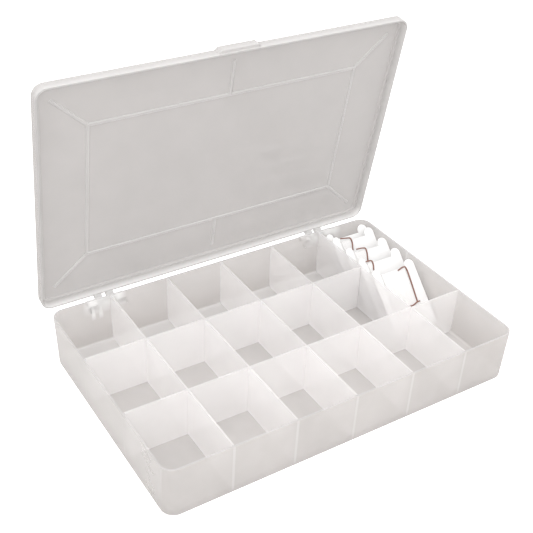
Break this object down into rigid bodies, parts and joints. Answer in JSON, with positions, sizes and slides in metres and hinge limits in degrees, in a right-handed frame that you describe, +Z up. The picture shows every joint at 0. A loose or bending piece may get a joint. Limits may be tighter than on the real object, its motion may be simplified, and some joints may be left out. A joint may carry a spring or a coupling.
{
  "type": "parts sorting tray",
  "caption": "Shallow translucent compartment box with a grid of dividers, a ribbed lid on rear hinges, and a row of wound floss cards leaning in one compartment.",
  "frame": {"origin": "on the supporting surface, under the middle of the tray's floor", "axes": "+Z up, +X along the tray towards the card compartment, +Y towards the hinges, front wall at -Y"},
  "size_m": [0.2746, 0.1908, 0.2157],
  "materials": {
    "clear_plastic": "natural milky polypropylene, satin",
    "steel": "drawn wire",
    "white_board": "matte white",
    "white_floss": "matte cotton"
  },
  "bodies": {
    "base": {"base_tray": "clear_plastic", "column_divider_1": "clear_plastic", "column_divider_2": "clear_plastic", "column_divider_3": "clear_plastic", "column_divider_4": "clear_plastic", "column_divider_5": "clear_plastic", "row_divider_front": "clear_plastic", "row_divider_rear": "clear_plastic", "hinge_pin_left": "steel", "hinge_pin_right": "steel"},
    "lid": {"lid": "clear_plastic"},
    "card_1": {"floss_card_1": "white_board", "floss_winding_1": "white_floss"},
    "card_2": {"floss_card_2": "white_board", "floss_winding_2": "white_floss"},
    "card_3": {"floss_card_3": "white_board", "floss_winding_3": "white_floss"},
    "card_4": {"floss_card_4": "white_board", "floss_winding_4": "white_floss"},
    "card_5": {"floss_card_5": "white_board"}
  },
  "joints": [
    {"name": "lid_hinge", "type": "hinge", "parent": "base", "child": "lid", "pos_m": [0, 0.0934, 0.0314], "axis": [-1, 0, 0], "range_deg": [-79.7, 35]},
    {"name": "card_1_lift", "type": "slide", "parent": "base", "child": "card_1", "axis": [0, 0.7181, 0.6959], "range_m": [0, 0.025]},
    {"name": "card_2_lift", "type": "slide", "parent": "base", "child": "card_2", "axis": [0, 0.7083, 0.7059], "range_m": [0, 0.025]},
    {"name": "card_3_lift", "type": "slide", "parent": "base", "child": "card_3", "axis": [0, 0.7009, 0.7133], "range_m": [0, 0.025]},
    {"name": "card_4_lift", "type": "slide", "parent": "base", "child": "card_4", "axis": [0, 0.7009, 0.7133], "range_m": [0, 0.02]},
    {"name": "card_5_lift", "type": "slide", "parent": "base", "child": "card_5", "axis": [0, 0.7337, 0.6794], "range_m": [0, 0.012]}
  ]
}
